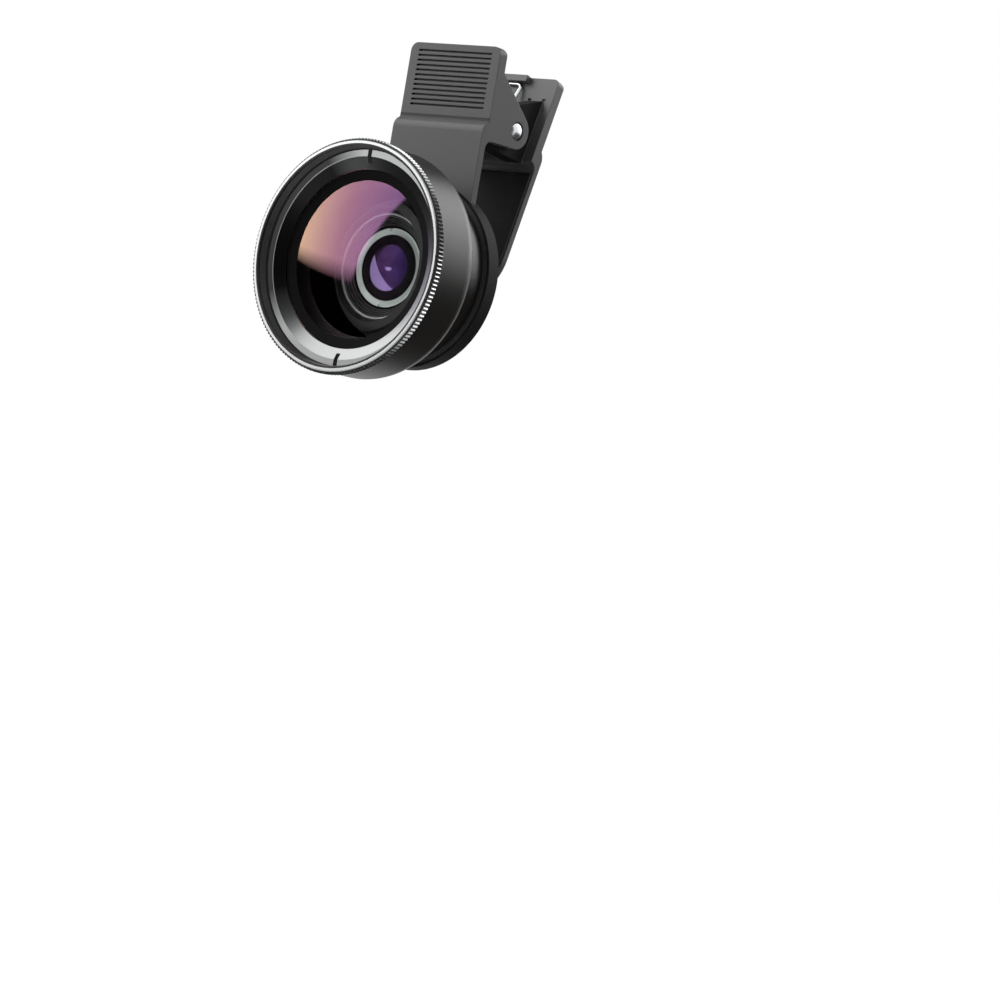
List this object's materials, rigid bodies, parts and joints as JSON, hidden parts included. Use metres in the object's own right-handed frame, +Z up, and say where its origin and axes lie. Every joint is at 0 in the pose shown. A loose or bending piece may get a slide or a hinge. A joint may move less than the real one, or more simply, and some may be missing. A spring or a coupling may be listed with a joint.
{
  "type": "clip on phone lens",
  "caption": "Spring clip that holds a screw-on macro lens and a flared wide-angle lens over a phone's camera, with a knurled rim, a coated front glass and a sprung rear jaw.",
  "frame": {"origin": "on the optical axis, in the plane of the soft ring's back face, which rests on the phone's back", "axes": "+X across the clip, +Y along the optical axis away from the front glass and into the phone, +Z up the clip towards its grips"},
  "size_m": [0.052, 0.0505, 0.078],
  "materials": {
    "clip_plastic": "fine satin moulded surface",
    "soft_rubber": "matt soft rubber",
    "plated_steel": "bright nickel plated steel",
    "black_anodised": "satin black anodised aluminium",
    "bright_aluminium": "bright turned aluminium",
    "satin_grey_ring": "satin grey turned aluminium",
    "dark_cell_metal": "dark turned aluminium",
    "matt_black_trim": "matt black moulded plastic",
    "coated_glass": "polished optical glass with a purple coating"
  },
  "bodies": {
    "front_clip": {"front_arm": "clip_plastic", "ring_pad": "soft_rubber", "hinge_pin": "plated_steel", "torsion_spring": "plated_steel"},
    "rear_clip": {"rear_arm": "clip_plastic", "jaw_pad": "soft_rubber"},
    "macro_lens": {"macro_barrel": "black_anodised", "macro_glass": "coated_glass", "macro_retaining_ring": "black_anodised"},
    "wide_lens": {"wide_barrel": "black_anodised", "knurled_rim": "bright_aluminium", "front_retaining_ring": "satin_grey_ring", "front_seat_ring": "matt_black_trim", "front_glass": "coated_glass", "light_baffle": "matt_black_trim", "rear_cell": "dark_cell_metal", "rear_retaining_ring": "dark_cell_metal", "cell_spacer": "matt_black_trim", "crown_glass": "coated_glass", "flint_glass": "coated_glass"}
  },
  "joints": [
    {"name": "clip_hinge", "type": "hinge", "parent": "front_clip", "child": "rear_clip", "pos_m": [0, 0.0083, 0.0351], "axis": [1, 0, 0], "range_deg": [-9.5, 40], "stiffness_Nm_per_rad": 0.25, "deforming": ["torsion_spring"]},
    {"name": "macro_unscrew", "type": "slide", "parent": "front_clip", "child": "macro_lens", "axis": [0, -1, 0], "range_m": [0, 0.025]},
    {"name": "wide_unscrew", "type": "slide", "parent": "macro_lens", "child": "wide_lens", "axis": [0, -1, 0], "range_m": [0, 0.03]}
  ]
}
